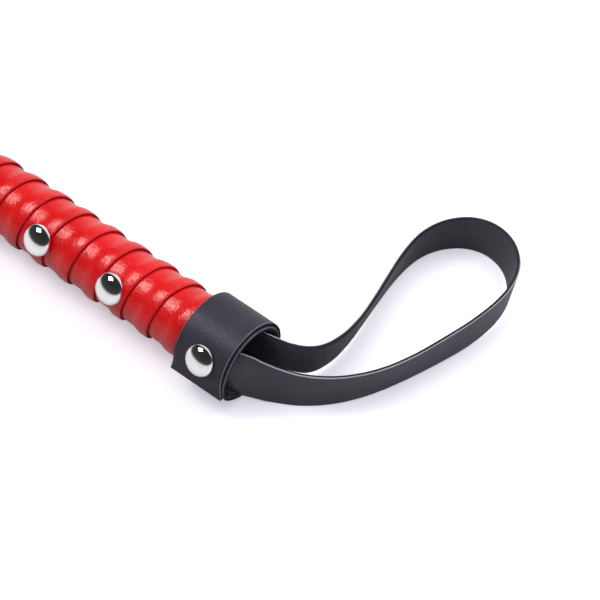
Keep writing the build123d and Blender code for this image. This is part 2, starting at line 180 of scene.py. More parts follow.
def ribbon(name, stations, thickness, materials, across, rounding):
    """Closed leather strip. stations: (centre, width direction, normal, width, bend radius).
    A bend radius curls the section about an axis on the -normal side; None leaves it flat."""
    rings = []
    for centre, across_dir, normal, width, bend in stations:
        section = strip_section(width, thickness, across, rounding)
        ring = []
        for u, v, _ in section:
            if bend:
                turn = u / bend
                u = (bend + v) * math.sin(turn)
                v = (bend + v) * math.cos(turn) - bend
            ring.append(centre + across_dir * u + normal * v)
        rings.append(ring)
    verts, faces = [], []
    add_loft(verts, faces, rings)
    kinds = [face for _, _, face in section]
    # where two kinds of face meet, the higher number is the edge between them
    row = [max(a, b) for a, b in zip(kinds, kinds[1:] + kinds[:1])]
    face_materials = row * (len(rings) - 1) + [CUT, CUT]
    return make_mesh(name, verts, faces, materials, 40.0, face_materials)


def lathe(name, profile, material, segments, origin=vec(0, 0, 0), axis=X_AXIS):
    """Solid of revolution. profile: (along axis, radius), starting and ending on the axis
    or closing on itself."""
    axis = axis.normalized()
    side = axis.orthogonal().normalized()
    other = axis.cross(side)
    verts, rows, faces = [], [], []
    for along, radius in profile:
        centre = origin + axis * along
        first = len(verts)
        if radius < 1e-6:
            verts.append(centre)
        else:
            for k in range(segments):
                turn = TAU * k / segments
                verts.append(centre + (side * math.cos(turn) + other * math.sin(turn)) * radius)
        rows.append(range(first, len(verts)))
    pairs = list(zip(rows, rows[1:]))
    if len(rows[0]) > 1:
        pairs.append((rows[-1], rows[0]))
    for a, b in pairs:
        for k in range(segments):
            after = (k + 1) % segments
            if len(a) == 1:
                faces.append((a[0], b[after], b[k]))
            elif len(b) == 1:
                faces.append((a[k], a[after], b[0]))
            else:
                faces.append((a[k], a[after], b[after], b[k]))
    return make_mesh(name, verts, faces, [material], 38.0)


def register(obj, carrier, replaced):
    """Ties a finished piece to the part that carries it and the CAD node it stands in for."""
    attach(obj, carrier)
    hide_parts(replaced)


# ------------------------------------------------------------------ shader helpers
# Scales and distances in the materials are per metre and in metres.
def set_inputs(node, values):
    """Sets inputs by name or index: a socket is linked, anything else is a value."""
    for key, value in values.items():
        if isinstance(value, bpy.types.NodeSocket):
            node.id_data.links.new(value, node.inputs[key])
        else:
            node.inputs[key].default_value = value


def add_node(tree, kind, inputs, **settings):
    node = tree.nodes.new(kind)
    for key, value in settings.items():
        setattr(node, key, value)
    set_inputs(node, inputs)
    return node


def new_material(name):
    material = bpy.data.materials.new(name)
    material.use_nodes = True
    tree = material.node_tree
    return material, tree, tree.nodes["Principled BSDF"]


def object_coords(tree):
    return add_node(tree, "ShaderNodeTexCoord", {}).outputs["Object"]


def noise_texture(tree, coords, scale, detail, roughness, stretch=None):
    if stretch:
        mapping = add_node(tree, "ShaderNodeMapping", {"Scale": stretch, "Vector": coords})
        coords = mapping.outputs["Vector"]
    return add_node(tree, "ShaderNodeTexNoise", {
        "Scale": scale, "Detail": detail, "Roughness": roughness, "Vector": coords,
    }).outputs["Fac"]


def color_ramp(tree, factor, stops):
    """stops: (position, RGB)."""
    node = add_node(tree, "ShaderNodeValToRGB", {"Fac": factor})
    elements = node.color_ramp.elements
    for element, (position, color) in ((elements[0], stops[0]), (elements[1], stops[-1])):
        element.position = position
        element.color = (*color, 1)
    for position, color in stops[1:-1]:
        elements.new(position).color = (*color, 1)
    return node.outputs["Color"]


def map_range(tree, value, source, target, **settings):
    return add_node(tree, "ShaderNodeMapRange", {
        "From Min": source[0], "From Max": source[1],
        "To Min": target[0], "To Max": target[1], "Value": value,
    }, **settings).outputs["Result"]


def weighted_sum(tree, a, b, weight_a, weight_b):
    first = add_node(tree, "ShaderNodeMath", {0: a, 1: weight_a}, operation="MULTIPLY")
    total = add_node(tree, "ShaderNodeMath", {0: b, 1: weight_b, 2: first.outputs[0]},
                     operation="MULTIPLY_ADD")
    return total.outputs[0]


def bump(tree, height, strength, distance, normal=None):
    inputs = {"Strength": strength, "Distance": distance, "Height": height}
    if normal:
        inputs["Normal"] = normal
    return add_node(tree, "ShaderNodeBump", inputs).outputs["Normal"]


# ------------------------------------------------------------------ materials
def leather(name, dark, light, roughness, grain=1900.0, grain_strength=0.35,
            grain_distance=0.0002, specular=0.5, wrinkle=0.15, sheen=0.0, lift=None):
    """lift: (start y, end y, amount) paints a sheen, making the colour paler from start to end."""
    material, tree, bsdf = new_material(name)
    coords = object_coords(tree)
    patches = noise_texture(tree, coords, scale=60.0, detail=4.0, roughness=0.6)
    tone = color_ramp(tree, patches, [(0.3, dark), (0.7, light)])
    # the lift paints a sheen: the colour grows paler along Y
    if lift:
        start, end, amount = lift
        axes = add_node(tree, "ShaderNodeSeparateXYZ", {0: coords})
        fade = map_range(tree, axes.outputs["Y"], source=(start, end), target=(0.0, 1.0))
        painted_sheen = {0: fade, 6: tone, 7: (amount, amount, amount * 1.2, 1)}
        tone = add_node(tree, "ShaderNodeMix", painted_sheen,
                        data_type="RGBA", blend_type="ADD").outputs[2]
    cells = add_node(tree, "ShaderNodeTexVoronoi", {"Scale": grain, "Vector": coords})
    fine = noise_texture(tree, coords, scale=grain * 1.7, detail=3.0, roughness=0.6)
    creases = noise_texture(tree, coords, scale=260.0, detail=5.0, roughness=0.65,
                            stretch=(0.55, 1.0, 1.7))
    pebbles = weighted_sum(tree, cells.outputs["Distance"], fine, weight_a=0.7, weight_b=0.6)
    creased = bump(tree, creases, strength=wrinkle, distance=0.00022)
    set_inputs(bsdf, {
        "Base Color": tone,
        "Normal": bump(tree, pebbles, grain_strength, grain_distance, creased),
        "Roughness": map_range(tree, fine, source=(0.3, 0.7),
                               target=(roughness - 0.06, roughness + 0.08)),
        "Specular IOR Level": specular,
        "Coat Roughness": 0.3,
        "Sheen Weight": sheen,
    })
    return material


def chrome_material():
    material, tree, bsdf = new_material("chrome_dome")
    coords = object_coords(tree)
    smudge = noise_texture(tree, coords, scale=420.0, detail=4.0, roughness=0.6)
    scratches = noise_texture(tree, coords, scale=900.0, detail=2.0, roughness=0.5,
                              stretch=(1, 6, 1))
    set_inputs(bsdf, {
        "Metallic": 1.0,
        "Base Color": color_ramp(tree, smudge, [(0.25, (0.80, 0.80, 0.82)),
                                                (0.75, (0.90, 0.90, 0.91))]),
        "Roughness": map_range(tree, smudge, source=(0.3, 0.75), target=(0.035, 0.09)),
        "Normal": bump(tree, scratches, strength=0.02, distance=0.00005),
    })
    return material


def steel_material():
    material, tree, bsdf = new_material("nail_steel")
    streaks = noise_texture(tree, object_coords(tree), scale=800.0, detail=3.0,
                            roughness=0.6, stretch=(8, 1, 1))
    set_inputs(bsdf, {
        "Metallic": 1.0,
        "Base Color": color_ramp(tree, streaks, [(0.3, (0.42, 0.42, 0.44)),
                                                 (0.7, (0.62, 0.62, 0.64))]),
        "Roughness": map_range(tree, streaks, source=(0.3, 0.7), target=(0.28, 0.45)),
        "Normal": bump(tree, streaks, strength=0.1, distance=0.00004),
    })
    return material


def plastic(name, dark, light, roughness, grain):
    material, tree, bsdf = new_material(name)
    coords = object_coords(tree)
    patches = noise_texture(tree, coords, scale=90.0, detail=3.0, roughness=0.5)
    fine = noise_texture(tree, coords, scale=2400.0, detail=3.0, roughness=0.6)
    set_inputs(bsdf, {
        "Base Color": color_ramp(tree, patches, [(0.3, dark), (0.7, light)]),
        "Roughness": map_range(tree, fine, source=(0.3, 0.7),
                               target=(roughness - 0.05, roughness + 0.07)),
        "Normal": bump(tree, fine, strength=grain, distance=0.00004),
    })
    return material


def thread(name, dark, light):
    material, tree, bsdf = new_material(name)
    coords = object_coords(tree)
    fibres = noise_texture(tree, coords, scale=1400.0, detail=4.0, roughness=0.65)
    twist = add_node(tree, "ShaderNodeTexWave",
                     {"Scale": 900.0, "Distortion": 1.5, "Vector": coords},
                     bands_direction="DIAGONAL")
    set_inputs(bsdf, {
        "Base Color": color_ramp(tree, fibres, [(0.3, dark), (0.72, light)]),
        "Normal": bump(tree, twist.outputs["Fac"], strength=0.35, distance=0.00008),
        "Roughness": 0.6,
        "Sheen Weight": 0.06,
    })
    return material


red_face = leather(
    "red_pu", dark=(0.60, 0.003, 0.004), light=(0.72, 0.005, 0.006), roughness=0.22,
    grain=1500.0, grain_strength=0.75, grain_distance=0.00013, specular=0.34, wrinkle=0.16)
red_edge = leather(
    "red_pu_edge", dark=(0.26, 0.004, 0.008), light=(0.36, 0.008, 0.013), roughness=0.7,
    specular=0.15)
collar_face = leather(
    "black_pu_outer", dark=(0.034, 0.033, 0.041), light=(0.048, 0.046, 0.058), roughness=0.36,
    grain=1500.0, grain_strength=0.6, grain_distance=0.00015, specular=0.09, wrinkle=0.22)
# painted sheen: the lift makes the strap's outer face paler from the grip toward the loop
strap_face = leather(
    "strap_outer", dark=(0.041, 0.039, 0.051), light=(0.057, 0.055, 0.070), roughness=0.46,
    grain=1700.0, grain_strength=0.35, grain_distance=0.00012, specular=0.42, wrinkle=0.12,
    lift=(0.004, 0.045, 0.030))
inner_face = leather(
    "strap_inner", dark=(0.046, 0.044, 0.055), light=(0.064, 0.061, 0.076), roughness=0.62,
    grain=1300.0, grain_strength=0.4, grain_distance=0.00018, specular=0.35, wrinkle=0.2,
    sheen=0.1)
# painted highlight: the pale grey on the rounded edges stands in for the light they catch
edge_painted_highlight = leather(
    "cut_edge_painted_highlight", dark=(0.30, 0.30, 0.34), light=(0.52, 0.52, 0.58), roughness=0.7,
    grain=2600.0, specular=0.3)
edge_dark = leather(
    "cut_edge_dark", dark=(0.012, 0.012, 0.016), light=(0.03, 0.03, 0.034), roughness=0.8,
    grain=2600.0, specular=0.2)
# painted highlight: the grey on the collar band's rounded edges stands in for the light they catch
collar_edge_painted_highlight = leather(
    "collar_cut_edge_painted_highlight", dark=(0.10, 0.10, 0.12), light=(0.27, 0.27, 0.31), roughness=0.7,
    grain=2600.0, specular=0.3)
keeper_face = leather(
    "keeper_leather_face", dark=(0.012, 0.012, 0.013), light=(0.022, 0.021, 0.023),
    roughness=0.45, grain=1100.0, grain_strength=0.5, grain_distance=0.00020, specular=0.3,
    wrinkle=0.2)
chrome = chrome_material()
steel = steel_material()
core_plastic = plastic("core_plastic", dark=(0.010, 0.010, 0.011), light=(0.02, 0.02, 0.022),
                       roughness=0.55, grain=0.2)
nose_plastic = plastic("nose_plastic", dark=(0.010, 0.010, 0.011), light=(0.018, 0.018, 0.02),
                       roughness=0.22, grain=0.05)
rod_fibreglass = plastic("rod_fibreglass", dark=(0.50, 0.46, 0.34), light=(0.62, 0.58, 0.45),
                         roughness=0.3, grain=0.1)
braid_black = thread("braid_black", dark=(0.010, 0.010, 0.011), light=(0.024, 0.024, 0.026))
braid_charcoal = thread("braid_charcoal", dark=(0.012, 0.012, 0.013),
                        light=(0.032, 0.032, 0.034))
whipping_thread = thread("whipping_thread", dark=(0.010, 0.010, 0.012),
                         light=(0.035, 0.035, 0.038))
stitch_thread = thread("stitch_thread", dark=(0.45, 0.015, 0.02), light=(0.68, 0.04, 0.045))


def paint(node, material):
    """Gives a CAD piece that stays in the model a single material."""
    mesh = nodes[node].data
    mesh.materials.clear()
    mesh.materials.append(material)


for node in ("grip_stud_nails", "collar_rivet_post", "strap_tack", "front_collar_stud_nail",
             "keeper_rivet_post"):
    paint(node, steel)
paint("grip_core", core_plastic)
paint("shaft_rod", rod_fibreglass)

# ------------------------------------------------------------------ red wound strip
WRAP_PITCH = 11.33
WRAP_EDGE_X = -22.1 + WRAP_PITCH  # free edge at theta = 0
WRAP_TURNS, WRAP_STEPS = 15.2, 120  # steps are per turn
WRAP_BUTT_X, WRAP_SHAFT_X = -18.2, -178.0  # the wound strip is trimmed at these
WRAP_MIN_RADIUS = 9.52
WRAP_THICKNESS, WRAP_MIN_THICKNESS = 0.92, 0.45
# Points across the strip: 0 is the free edge, negative is toward the tip
WRAP_ACROSS = [
    0.0, -0.12, -0.35, -0.7, -1.2, -1.8, -2.4, -3.0, -3.6, -4.2, -4.8, -5.4, -6.0, -6.6,
    -7.3, -8.2, -9.2, -10.2, -11.3, -12.8, -14.8,
]
# The corner of the free edge is eased by these amounts
WRAP_EDGE_DROP = {0.0: 0.16, -0.12: 0.05}


def strip_top(u):
    """Outer radius of the strip: high over the turn below, then sloping to the core."""
    high, low = 11.63, 10.73
    depth = -u
    if depth < 1.3:
        return high - 0.25 + 0.25 * math.sin(math.pi / 2 * depth / 1.3)
    if depth < 3.0:
        return high
    if depth < 7.6:
        return high - (high - low) * smooth((depth - 3.0) / 4.6)
    return low


def wrap_radii(theta, u):
    """Outer and inner radius of the strip, with hand-wound unevenness."""
    fade = max(0.0, 1.0 + u / 9.0)
    uneven = (0.09 * noise.noise(vec(theta * 1.7, u * 0.22, 1.0))
              + 0.035 * noise.noise(vec(theta * 5.0, u * 0.7, 5.0)))
    swell = (0.07 * math.sin(theta * 5.0 + 1.3 * math.sin(theta))
             * math.exp(-((u + 2.2) / 1.8) ** 2))
    top = strip_top(u)
    if u < -9.4:
        # the part hidden under the next turn lies lower and flatter
        outer = top + uneven * 0.2 - 0.06
    else:
        outer = top + uneven * (0.35 + fade) + swell
    outer -= WRAP_EDGE_DROP.get(u, 0.0)
    inner = max(WRAP_MIN_RADIUS, top - WRAP_THICKNESS + uneven * 0.3)
    return outer, min(inner, outer - WRAP_MIN_THICKNESS)


def trim_wrap(mesh):
    """Cuts both ends of the winding square and closes them."""
    bm = bmesh.new()
    bm.from_mesh(mesh)
    for x, keep_side in ((WRAP_BUTT_X, 1), (WRAP_SHAFT_X, -1)):
        geometry = bm.verts[:] + bm.edges[:] + bm.faces[:]
        result = bmesh.ops.bisect_plane(
            bm, geom=geometry, dist=1e-8, plane_co=(x * MM, 0, 0), plane_no=(keep_side, 0, 0),
            clear_outer=True)
        cut = [e for e in result["geom_cut"] if isinstance(e, bmesh.types.BMEdge)]
        bmesh.ops.edgenet_fill(bm, edges=cut, mat_nr=1, use_smooth=False)
    bmesh.ops.recalc_face_normals(bm, faces=bm.faces)
    bm.to_mesh(mesh)
    bm.free()


def build_wrap():
    sharp_angle = 50.0
    rings = []
    for i in range(int(WRAP_STEPS * WRAP_TURNS) + 1):
        theta = math.pi * 1.5 - TAU * i / WRAP_STEPS  # falling theta runs toward the tip
        # the edge wanders a little, as if wound by hand
        edge_x = (WRAP_EDGE_X + WRAP_PITCH * theta / TAU + 0.28 * math.sin(theta + 0.6)
                  + 0.18 * noise.noise(vec(theta * 0.9, 3.1, 0.0))
                  + 0.10 * noise.noise(vec(theta * 3.1, 7.7, 0.0)))
        out = outward(theta)
        top, bottom = [], []
        for u in WRAP_ACROSS:
            outer, inner = wrap_radii(theta, u)
            undercut = 0.04 if u == 0.0 else 0.0
            top.append(vec(edge_x + u, 0, 0) + out * outer)
            bottom.append(vec(edge_x + u - undercut, 0, 0) + out * inner)
        rings.append(top + bottom[::-1])
    verts, faces = [], []
    add_loft(verts, faces, rings)
    # material 0 is the red face, 1 the edges and the underside
    points = len(WRAP_ACROSS)
    row = [1] + [0] * (points - 2) + [1] * (points + 1)
    face_materials = row * (len(rings) - 1) + [1, 1]
    obj = make_mesh("grip_wrap_strip", verts, faces, [red_face, red_edge], sharp_angle,
                    face_materials)
    trim_wrap(obj.data)
    obj.data.set_sharp_from_angle(angle=math.radians(sharp_angle))
    return obj


register(build_wrap(), "handle", "grip_wrap")

# ------------------------------------------------------------------ chrome dome caps
STUD_ANGLE, COLLAR_RIVET_ANGLE = math.radians(32.0), math.radians(26.0)
STUD_FIRST_X, STUD_PITCH, STUD_COUNT = -50.0, 31.1, 4
STUD_SEAT, COLLAR_RIVET_SEAT, FRONT_STUD_SEAT = 11.42, 14.32, 12.05  # radius of the dome base
COLLAR_RIVET_X, FRONT_STUD_X = -9.4, -187.0


def dome(name, centre, axis, radius=5.3, height=3.3):
    rim, steps = 0.30, 21
    profile = [(0.0, 0.0), (0.0, radius * 0.90), (0.05, radius * 0.965), (0.22, radius * 0.998)]
    for k in range(1, steps + 1):
        turn = math.pi / 2 * k / steps
        profile.append((rim + (height - rim) * math.sin(turn) ** 0.96,
                        radius * math.cos(turn) if k < steps else 0.0))
    return lathe(name, profile, chrome, 72, centre, axis)


def grip_dome(name, x, angle, seat, replaced):
    axis = outward(angle)
    obj = dome(name, vec(x, 0, 0) + axis * seat, axis)
    register(obj, "handle", replaced)


for i in range(STUD_COUNT):
    grip_dome("grip_stud_cap_%d" % (i + 1), STUD_FIRST_X - STUD_PITCH * i, STUD_ANGLE,
              STUD_SEAT, "grip_stud_caps")
grip_dome("collar_rivet_dome", COLLAR_RIVET_X, COLLAR_RIVET_ANGLE, COLLAR_RIVET_SEAT,
          "collar_rivet_cap")
grip_dome("front_collar_stud_dome", FRONT_STUD_X, STUD_ANGLE, FRONT_STUD_SEAT,
          "front_collar_stud_cap")

# ------------------------------------------------------------------ butt collar
COLLAR_X = -10.1
COLLAR_WIDTH = 19.4
COLLAR_THICKNESS = 1.25
COLLAR_OUTER, COLLAR_INNER = 13.72, 12.34  # mid-leather radii of the two turns
COLLAR_TAIL, COLLAR_TAIL_STEPS = 4.3, 9
COLLAR_SWEEP, COLLAR_STEPS = math.radians(690.0), 169
STEP_START, STEP_END = 318, 400  # degrees between which the outer turn drops to the inner


def collar_path():
    """(centre, width) from the free outer end to the tucked inner one."""
    path = []
    # the free end hangs on the -Y side, cut a little askew
    for k in range(COLLAR_TAIL_STEPS):
        away = 1 - k / (COLLAR_TAIL_STEPS - 1)
        centre = vec(COLLAR_X - 0.10 * away, -COLLAR_OUTER - 0.62 * away ** 1.6,
                     -COLLAR_TAIL * away)
        path.append((centre, COLLAR_WIDTH + 1.2 * away))
    for k in range(1, COLLAR_STEPS + 1):
        theta = COLLAR_SWEEP * k / COLLAR_STEPS
        degrees = math.degrees(theta)
        shift = 0.0
        if degrees < STEP_START:
            radius = COLLAR_OUTER - 0.06 * (1 - math.cos(theta)) / 2
        else:
            s = min(1.0, (degrees - STEP_START) / (STEP_END - STEP_START))
            radius = COLLAR_OUTER - (COLLAR_OUTER - COLLAR_INNER) * smooth(s)
            shift = min(1.0, (degrees - STEP_START) / 60) * 0.85
        if degrees > STEP_END:
            # the inner turn drifts back in line
            shift *= 0.5 + 0.5 * math.cos(math.radians(degrees - STEP_END) * 0.62)
        radius += 0.05 * noise.noise(vec(math.cos(theta) * 2, math.sin(theta) * 2, theta * 0.3))
        z = radius * math.sin(theta)
        if z < 0:
            # flattened a little underneath
            z *= 1.0 - 0.10 * min(1.0, -z / 11.0) ** 1.5
        settle = min(1.0, degrees / 90.0)
        centre = vec(COLLAR_X + 0.15 * settle + shift, -radius * math.cos(theta), z)
        path.append((centre, COLLAR_WIDTH - 0.3 * settle))
    return path


def build_collar():
    path = collar_path()
    stations = []
    for i, (centre, width) in enumerate(path):
        before, after = neighbours(path, i)
        tangent = after[0] - before[0]
        tangent.x = 0
        tangent.normalize()
        normal = -Y_AXIS if i < COLLAR_TAIL_STEPS else X_AXIS.cross(tangent)
        stations.append((centre, X_AXIS, normal, width, None))
    return ribbon("butt_collar_band", stations, COLLAR_THICKNESS,
                  [collar_face, collar_edge_painted_highlight, inner_face, edge_dark], across=14, rounding=0.22)


register(build_collar(), "handle", "butt_collar")

# ------------------------------------------------------------------ wrist strap
STRAP_WIDTH, STRAP_EXTRA = 15.0, 0.9  # extra width at the tucked ends
STRAP_THICKNESS = 1.15
STRAP_STATIONS = 420
STRAP_FLARE_STATIONS = 150  # stations over which the extra width dies away
STRAP_SMOOTHING = 14  # passes
MIN_CURVATURE = 0.004  # below this the section is flat
TAIL_RADIUS = 10.2  # radius at which the tails lie on the grip
TAIL_TILT = math.radians(15.0)
FRONT_TAIL = (-TAIL_RADIUS * math.cos(TAIL_TILT), TAIL_RADIUS * math.sin(TAIL_TILT),
              0, math.sin(TAIL_TILT), math.cos(TAIL_TILT), 1 / TAIL_RADIUS)
BACK_TAIL = (TAIL_RADIUS, 0, 0, 0, 1, 1 / TAIL_RADIUS)
# Columns of the strap: centre x, y, z, width direction x, y, z, curvature of the section.
# The front tail lies on the -Y side of the grip.
STRAP_FRONT = [
    (-17.5, *FRONT_TAIL),
    (-9.5, *FRONT_TAIL),
    (-5.6, -9.3, 1.4, 0, 0.22, 0.97, 1 / 10.5),
    (-2.0, -6.7, -0.4, 0, 0.16, 0.98, 1 / 20.0),
    (1.3, -2.9, -3.6, 0.04, 0.15, 0.98, 1 / 45.0),
]
# The loop has the same columns without the curvature, which is zero
STRAP_LOOP = [
    (7.17, 1.76, -6.10, 0.032, 0.121, 0.992), (15.40, 5.98, -6.36, 0.017, -0.024, 1.000),
    (22.60, 12.02, -6.35, 0.077, -0.103, 0.992), (28.17, 19.06, -6.16, 0.149, -0.121, 0.981),
    (32.06, 26.40, -6.03, 0.202, -0.092, 0.975), (34.83, 34.01, -6.10, 0.218, -0.046, 0.975),
    (37.02, 41.90, -6.30, 0.196, -0.030, 0.980), (38.97, 49.94, -6.40, 0.159, -0.061, 0.985),
    (40.74, 58.04, -6.13, 0.135, -0.094, 0.986), (41.87, 66.12, -5.43, 0.147, -0.111, 0.983),
    (41.63, 74.02, -4.67, 0.179, -0.045, 0.983), (39.03, 81.35, -4.47, 0.137, 0.118, 0.984),
    (33.70, 87.46, -5.05, 0.028, 0.188, 0.982), (26.81, 91.33, -5.88, -0.053, 0.143, 0.988),
    (19.56, 92.12, -6.45, -0.062, 0.046, 0.997), (13.01, 89.33, -6.62, 0.016, -0.010, 1.000),
    (8.12, 83.26, -6.46, 0.085, -0.017, 0.996), (5.66, 75.33, -6.36, 0.136, -0.025, 0.990),
    (5.75, 66.80, -6.48, 0.183, 0.012, 0.983), (7.25, 58.38, -6.36, 0.206, 0.091, 0.974),
    (9.20, 50.28, -5.81, 0.229, 0.131, 0.965), (11.24, 41.99, -5.31, 0.262, 0.096, 0.960),
    (12.88, 33.20, -5.07, 0.275, 0.061, 0.959), (13.32, 24.20, -4.85, 0.261, 0.051, 0.964),
    (11.46, 15.99, -3.78, 0.245, 0.035, 0.969), (5.94, 10.82, -2.20, 0.230, -0.056, 0.972),
]
STRAP_BACK = [
    (1.2, 9.75, -1.15, 0.14, -0.02, 1, 1 / 26.0),
    (-2.0, 9.75, -0.5, 0.03, 0, 1, 1 / 12.0),
    (-5.0, 9.9, -0.2, 0, 0, 1, 1 / 10.2),
    (-9.5, *BACK_TAIL),
    (-17.5, *BACK_TAIL),
]


def build_strap():
    control = STRAP_FRONT + [row + (0.0,) for row in STRAP_LOOP] + STRAP_BACK
    points = resample(control, STRAP_STATIONS)
    for _ in range(STRAP_SMOOTHING):
        inside = [tuple(0.25 * a + 0.5 * b + 0.25 * c for a, b, c in zip(*rows))
                  for rows in zip(points, points[1:], points[2:])]
        points = [points[0]] + inside + [points[-1]]
    stations = []
    for i, point in enumerate(points):
        before, after = neighbours(points, i)
        tangent = (Vector(after[:3]) - Vector(before[:3])).normalized()
        across_dir = Vector(point[3:6])
        across_dir = (across_dir - tangent * across_dir.dot(tangent)).normalized()
        # the outer face looks away from the inside of the loop
        normal = tangent.cross(across_dir).normalized()
        centre = Vector(point[:3])
        centre += normal * (0.10 * noise.noise(centre * 0.09) + 0.03 * noise.noise(centre * 0.5))
        nearness = max(0.0, 1.0 - min(i, STRAP_STATIONS - 1 - i) / STRAP_FLARE_STATIONS)
        curvature = point[6]
        stations.append((centre, across_dir, normal,
                         STRAP_WIDTH + STRAP_EXTRA * smooth(nearness),
                         1 / curvature if curvature > MIN_CURVATURE else None))
    return ribbon("wrist_strap", stations, STRAP_THICKNESS,
                  [strap_face, edge_painted_highlight, inner_face, edge_dark], across=10, rounding=0.32)


strap = build_strap()
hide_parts("wrist_loop", "strap_tails")
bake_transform(strap)

# ------------------------------------------------------------------ collar at the shaft end
FRONT_COLLAR_X = -187.05
FRONT_COLLAR_WIDTH = 17.6
FRONT_COLLAR_THICKNESS = 1.15
FRONT_COLLAR_RADIUS = 11.45
FRONT_COLLAR_DIP = 0.9  # how far the overlapped end drops under the band
FRONT_COLLAR_STEPS, FRONT_COLLAR_DIP_STEP = 129, 100


def build_front_collar():
    stations = []
    for k in range(FRONT_COLLAR_STEPS + 1):
        out = outward(math.radians(20 + 392.0 * k / FRONT_COLLAR_STEPS))
        dip = max(0.0, (k - FRONT_COLLAR_DIP_STEP) / (FRONT_COLLAR_STEPS - FRONT_COLLAR_DIP_STEP))
        centre = vec(FRONT_COLLAR_X, 0, 0) + out * (FRONT_COLLAR_RADIUS - FRONT_COLLAR_DIP * dip)
        stations.append((centre, X_AXIS, out, FRONT_COLLAR_WIDTH, None))
    return ribbon("front_collar_band", stations, FRONT_COLLAR_THICKNESS,
                  [collar_face, edge_painted_highlight, inner_face, edge_dark], across=14, rounding=0.22)


register(build_front_collar(), "handle", "front_collar")

# ------------------------------------------------------------------ nose ferrule
NOSE_BORE = 3.98
# (x, radius) of the flange and groove, and of the bead at the small end
NOSE_FLANGE = [
    (-196.1, NOSE_BORE), (-196.1, 10.5), (-196.5, 11.0), (-197.2, 11.1), (-198.6, 11.1),
    (-199.1, 10.8), (-199.5, 10.45), (-200.0, 10.7), (-200.6, 10.85),
]
NOSE_BEAD = [
    (-213.7, 6.0), (-214.3, 6.15), (-214.9, 6.15), (-215.5, 5.95), (-216.0, 5.4),
    (-216.0, NOSE_BORE),
]
NOSE_TAPER_LENGTH, NOSE_TAPER_DROP, NOSE_TAPER_STEPS = 12.6, 4.95, 14


def build_nose():
    start_x, start_radius = NOSE_FLANGE[-1]
    taper = []
    for k in range(1, NOSE_TAPER_STEPS + 1):
        s = k / NOSE_TAPER_STEPS
        taper.append((start_x - NOSE_TAPER_LENGTH * s, start_radius - NOSE_TAPER_DROP * smooth(s)))
    return lathe("grip_nose_ferrule", NOSE_FLANGE + taper + NOSE_BEAD, nose_plastic, 96)


register(build_nose(), "handle", "grip_nose")

# ------------------------------------------------------------------ braided shaft
ROD_RADIUS, ROD_TAPER = 3.0, 1.5
ROD_TAPER_X, ROD_TAPER_LENGTH = -214.0, 361.0
BRAID_START_X, BRAID_END_X = -204.0, -551.5
BRAID_STRANDS = 8  # of each hand
BRAID_LEAD = 26.0  # length of one turn
BRAID_STATIONS = 720
BRAID_HEIGHT, BRAID_LIFT = 0.46, 0.17  # above the rod, and up or down at the crossings
BRAID_FILL = 0.94  # share of the room each strand takes
# Strand section: (fraction of half width, height)
STRAND_SECTION = [
    (-1, 0), (-0.8, 0.16), (-0.35, 0.24), (0.35, 0.24), (0.8, 0.16), (1, 0), (0.7, -0.12),
    (-0.7, -0.12),
]


def rod_radius(x):
    return ROD_RADIUS - ROD_TAPER * max(0.0, ROD_TAPER_X - x) / ROD_TAPER_LENGTH


def strand_ring(x, strand, hand):
    radius = rod_radius(x) + BRAID_HEIGHT
    turn = TAU * (BRAID_START_X - x) / BRAID_LEAD
    angle = hand * turn + TAU * strand / BRAID_STRANDS
    # a strand meets 16 crossings a turn and goes over two, under two
    wave = math.sin(BRAID_STRANDS * turn / 2 + math.pi * strand / 2)
    lift = BRAID_LIFT * math.tanh(2.2 * wave) * hand
    out = vec(0, math.cos(angle), math.sin(angle))
    around = vec(0, -math.sin(angle), math.cos(angle)) * hand
    girth = TAU * radius
    along = (-X_AXIS * BRAID_LEAD + around * girth).normalized()
    side = out.cross(along).normalized()
    slant = BRAID_LEAD / math.hypot(BRAID_LEAD, girth)
    half = math.pi * radius / BRAID_STRANDS * slant * BRAID_FILL
    centre = vec(x, 0, 0) + out * (radius + lift)
    return [centre + side * (u * half) + out * v for u, v in STRAND_SECTION]


def build_braid(name, hand, material):
    verts, faces = [], []
    step = (BRAID_END_X - BRAID_START_X) / (BRAID_STATIONS - 1)
    for strand in range(BRAID_STRANDS):
        add_loft(verts, faces, [strand_ring(BRAID_START_X + step * i, strand, hand)
                                for i in range(BRAID_STATIONS)])
    return make_mesh(name, verts, faces, [material], 60.0)


for name, hand, material in (("shaft_braid_left", 1, braid_black),
                             ("shaft_braid_right", -1, braid_charcoal)):
    register(build_braid(name, hand, material), "handle", "shaft_cover")

# ------------------------------------------------------------------ tip cap ring
# (x, height above the ring's base radius)
TIP_RING_PROFILE = [
    (-553.4, -0.5), (-553.4, 0.6), (-553.1, 1.0), (-552.6, 1.2), (-551.4, 1.2), (-551.0, 0.8),
    (-550.5, 0.8), (-550.1, 1.15), (-547.8, 1.15), (-547.2, 0.9), (-546.7, 0.45),
    (-546.5, 0.2), (-546.5, -0.02),
]
TIP_RING_BASE = rod_radius(-552.0) + 0.9
tip_ring = lathe("tip_ring", [(x, TIP_RING_BASE + height) for x, height in TIP_RING_PROFILE],
                 chrome, 72)
register(tip_ring, "handle", "tip_cap")

# ------------------------------------------------------------------ thread binding
WHIPPING_TURNS, WHIPPING_STEPS = 20, 48  # steps are per turn
WHIPPING_START_X, WHIPPING_END_X = -554.6, -569.4
WHIPPING_HALF_Y, WHIPPING_HALF_Z = 4.95, 3.65
WHIPPING_SQUARENESS = 4.2  # superellipse power; 2 would be an ellipse
WHIPPING_THREAD_RADIUS = 0.40


